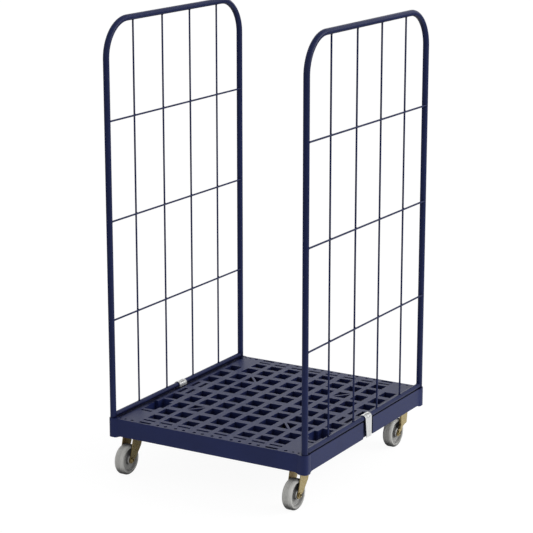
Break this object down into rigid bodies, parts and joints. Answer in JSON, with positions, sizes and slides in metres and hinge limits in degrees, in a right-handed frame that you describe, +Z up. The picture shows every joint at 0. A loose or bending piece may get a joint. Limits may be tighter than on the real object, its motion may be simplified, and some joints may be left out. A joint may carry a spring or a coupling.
{
  "type": "roll container",
  "caption": "Roll container: moulded grid deck on swivel and fixed castors, with plug-in side panels of bent tube and wire mesh.",
  "frame": {"origin": "on the floor, below the middle of the whole object's outline", "axes": "+Z up, -Y to the front with the swivel castors, +X to the right-hand panel"},
  "size_m": [0.7344, 0.845, 1.4728],
  "materials": {
    "deck_plastic": "moulded high-density plastic, dark blue, fine grain",
    "blue_powder_coat": "smooth dark blue powder coat on steel tube and wire",
    "clip_steel": "bright sheet steel, lightly brushed",
    "yellow_zinc": "yellow passivated zinc on pressed steel",
    "plain_steel": "plain machined steel",
    "wheel_plastic": "light grey moulded polyamide, satin",
    "bush_plastic": "dark plain bearing plastic"
  },
  "bodies": {
    "base": {"deck": "deck_plastic", "castor_plate_front_left": "yellow_zinc", "ball_cage_front_left": "plain_steel", "lower_race_front_left": "yellow_zinc", "king_pin_front_left": "plain_steel", "castor_plate_front_right": "yellow_zinc", "ball_cage_front_right": "plain_steel", "lower_race_front_right": "yellow_zinc", "king_pin_front_right": "plain_steel", "fixed_bracket_rear_left": "yellow_zinc", "axle_sleeve_rear_left": "plain_steel", "axle_bolt_rear_left": "yellow_zinc", "axle_nut_rear_left": "yellow_zinc", "fixed_bracket_rear_right": "yellow_zinc", "axle_sleeve_rear_right": "plain_steel", "axle_bolt_rear_right": "yellow_zinc", "axle_nut_rear_right": "yellow_zinc"},
    "panel_left": {"panel_frame_left": "blue_powder_coat", "bottom_tube_left": "blue_powder_coat", "upright_wire_left_1": "blue_powder_coat", "upright_wire_left_2": "blue_powder_coat", "upright_wire_left_3": "blue_powder_coat", "upright_wire_left_4": "blue_powder_coat", "cross_wire_left_1": "blue_powder_coat", "cross_wire_left_2": "blue_powder_coat", "cross_wire_left_3": "blue_powder_coat"},
    "clip_left": {"retaining_clip_left": "clip_steel"},
    "panel_right": {"panel_frame_right": "blue_powder_coat", "bottom_tube_right": "blue_powder_coat", "upright_wire_right_1": "blue_powder_coat", "upright_wire_right_2": "blue_powder_coat", "upright_wire_right_3": "blue_powder_coat", "upright_wire_right_4": "blue_powder_coat", "cross_wire_right_1": "blue_powder_coat", "cross_wire_right_2": "blue_powder_coat", "cross_wire_right_3": "blue_powder_coat"},
    "clip_right": {"retaining_clip_right": "clip_steel"},
    "fork_front_left": {"swivel_fork_front_left": "yellow_zinc", "axle_sleeve_front_left": "plain_steel", "axle_bolt_front_left": "yellow_zinc", "axle_nut_front_left": "yellow_zinc"},
    "wheel_front_left": {"wheel_front_left": "wheel_plastic", "wheel_bush_front_left": "bush_plastic"},
    "fork_front_right": {"swivel_fork_front_right": "yellow_zinc", "axle_sleeve_front_right": "plain_steel", "axle_bolt_front_right": "yellow_zinc", "axle_nut_front_right": "yellow_zinc"},
    "wheel_front_right": {"wheel_front_right": "wheel_plastic", "wheel_bush_front_right": "bush_plastic"},
    "wheel_rear_left": {"wheel_rear_left": "wheel_plastic", "wheel_bush_rear_left": "bush_plastic"},
    "wheel_rear_right": {"wheel_rear_right": "wheel_plastic", "wheel_bush_rear_right": "bush_plastic"}
  },
  "joints": [
    {"name": "panel_lift_left", "type": "slide", "parent": "base", "child": "panel_left", "axis": [0, 0, 1], "range_m": [0, 0.042]},
    {"name": "clip_swing_left", "type": "hinge", "parent": "panel_left", "child": "clip_left", "pos_m": [-0.3542, 0.0145, 0.1923], "axis": [0, 1, 0], "range_deg": [0, 90]},
    {"name": "panel_lift_right", "type": "slide", "parent": "base", "child": "panel_right", "axis": [0, 0, 1], "range_m": [0, 0.042]},
    {"name": "clip_swing_right", "type": "hinge", "parent": "panel_right", "child": "clip_right", "pos_m": [0.3542, 0.0145, 0.1923], "axis": [0, -1, 0], "range_deg": [0, 90]},
    {"name": "swivel_front_left", "type": "hinge", "parent": "base", "child": "fork_front_left", "pos_m": [-0.311, -0.3315, 0.1237], "axis": [0, 0, 1], "continuous": true},
    {"name": "roll_front_left", "type": "hinge", "parent": "fork_front_left", "child": "wheel_front_left", "pos_m": [-0.311, -0.3725, 0.05], "axis": [1, 0, 0], "continuous": true},
    {"name": "swivel_front_right", "type": "hinge", "parent": "base", "child": "fork_front_right", "pos_m": [0.311, -0.3315, 0.1237], "axis": [0, 0, 1], "continuous": true},
    {"name": "roll_front_right", "type": "hinge", "parent": "fork_front_right", "child": "wheel_front_right", "pos_m": [0.311, -0.3725, 0.05], "axis": [1, 0, 0], "continuous": true},
    {"name": "roll_rear_left", "type": "hinge", "parent": "base", "child": "wheel_rear_left", "pos_m": [-0.311, 0.3045, 0.05], "axis": [1, 0, 0], "continuous": true},
    {"name": "roll_rear_right", "type": "hinge", "parent": "base", "child": "wheel_rear_right", "pos_m": [0.311, 0.3045, 0.05], "axis": [1, 0, 0], "continuous": true}
  ]
}
